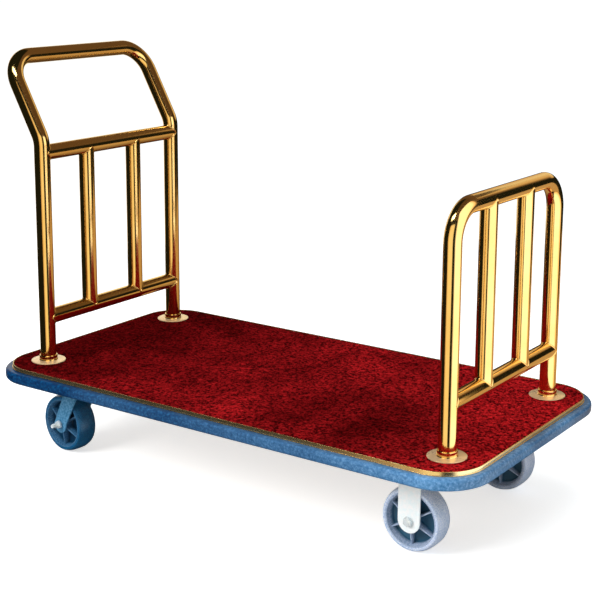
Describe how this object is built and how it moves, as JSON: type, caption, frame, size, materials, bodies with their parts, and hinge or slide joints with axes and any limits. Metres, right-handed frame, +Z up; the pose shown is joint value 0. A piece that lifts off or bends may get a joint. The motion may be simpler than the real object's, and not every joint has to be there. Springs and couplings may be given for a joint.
{
  "type": "hotel luggage cart",
  "caption": "Platform cart with a carpeted rounded deck, a tall push hoop, a low front hoop, a soft edge bumper, and rigid and swivel casters.",
  "frame": {"origin": "on the floor, under the middle of the cart's overall box", "axes": "+Z up; +X is the way the cart is pushed, from the tall push hoop to the low front hoop; +Y is its left side"},
  "size_m": [1.2821, 0.66, 0.9421],
  "materials": {
    "tube_brass": "polished and lacquered",
    "flange_brass": "polished",
    "channel_brass": "satin",
    "carpet": "cut pile, red flecked with near-black",
    "bumper": "smooth blue vinyl",
    "plywood": "sealed",
    "tyre_rubber": "smooth blue-grey non-marking rubber",
    "hub_plastic": "moulded blue-grey",
    "zinc": "bright zinc plate",
    "steel": "plain",
    "bronze": "oiled sintered bronze"
  },
  "bodies": {
    "cart": {"deck_board": "plywood", "carpet": "carpet", "edge_channel": "channel_brass", "bumper": "bumper", "front_caster_rail": "plywood", "rear_caster_rail": "plywood", "rear_hoop": "tube_brass", "rear_lower_crossbar": "tube_brass", "rear_upper_crossbar": "tube_brass", "rear_upright_right": "tube_brass", "rear_upright_left": "tube_brass", "front_hoop": "tube_brass", "front_lower_crossbar": "tube_brass", "front_upright_right": "tube_brass", "front_upright_left": "tube_brass", "rear_right_flange": "flange_brass", "rear_right_post_plug": "steel", "rear_right_post_bolt": "zinc", "rear_left_flange": "flange_brass", "rear_left_post_plug": "steel", "rear_left_post_bolt": "zinc", "front_right_flange": "flange_brass", "front_right_post_plug": "steel", "front_right_post_bolt": "zinc", "front_left_flange": "flange_brass", "front_left_post_plug": "steel", "front_left_post_bolt": "zinc", "front_right_fork": "zinc", "front_right_axle_bolt": "zinc", "front_right_axle_nut": "zinc", "front_right_axle_bushing": "bronze", "rear_right_swivel_plate": "zinc", "rear_right_swivel_race": "steel", "rear_right_kingpin": "zinc", "front_left_fork": "zinc", "front_left_axle_bolt": "zinc", "front_left_axle_nut": "zinc", "front_left_axle_bushing": "bronze", "rear_left_swivel_plate": "zinc", "rear_left_swivel_race": "steel", "rear_left_kingpin": "zinc"},
    "rear_right_swivel": {"rear_right_fork": "zinc", "rear_right_axle_bolt": "zinc", "rear_right_axle_nut": "zinc", "rear_right_axle_bushing": "bronze"},
    "rear_left_swivel": {"rear_left_fork": "zinc", "rear_left_axle_bolt": "zinc", "rear_left_axle_nut": "zinc", "rear_left_axle_bushing": "bronze"},
    "rear_right_wheel": {"rear_right_tyre": "tyre_rubber", "rear_right_hub": "hub_plastic"},
    "rear_left_wheel": {"rear_left_tyre": "tyre_rubber", "rear_left_hub": "hub_plastic"},
    "front_right_wheel": {"front_right_tyre": "tyre_rubber", "front_right_hub": "hub_plastic"},
    "front_left_wheel": {"front_left_tyre": "tyre_rubber", "front_left_hub": "hub_plastic"}
  },
  "joints": [
    {"name": "rear_right_swivel_turn", "type": "hinge", "parent": "cart", "child": "rear_right_swivel", "pos_m": [-0.4549, -0.1925, 0.165], "axis": [0, 0, 1], "continuous": true},
    {"name": "rear_left_swivel_turn", "type": "hinge", "parent": "cart", "child": "rear_left_swivel", "pos_m": [-0.4549, 0.1925, 0.165], "axis": [0, 0, 1], "continuous": true},
    {"name": "rear_right_wheel_spin", "type": "hinge", "parent": "rear_right_swivel", "child": "rear_right_wheel", "pos_m": [-0.49262, -0.18787, 0.068], "axis": [0.1219, 0.9925, 0], "continuous": true},
    {"name": "rear_left_wheel_spin", "type": "hinge", "parent": "rear_left_swivel", "child": "rear_left_wheel", "pos_m": [-0.49262, 0.19713, 0.068], "axis": [0.1219, 0.9925, 0], "continuous": true},
    {"name": "front_right_wheel_spin", "type": "hinge", "parent": "cart", "child": "front_right_wheel", "pos_m": [0.4621, -0.1925, 0.068], "axis": [0, 1, 0], "continuous": true},
    {"name": "front_left_wheel_spin", "type": "hinge", "parent": "cart", "child": "front_left_wheel", "pos_m": [0.4621, 0.1925, 0.068], "axis": [0, 1, 0], "continuous": true}
  ]
}
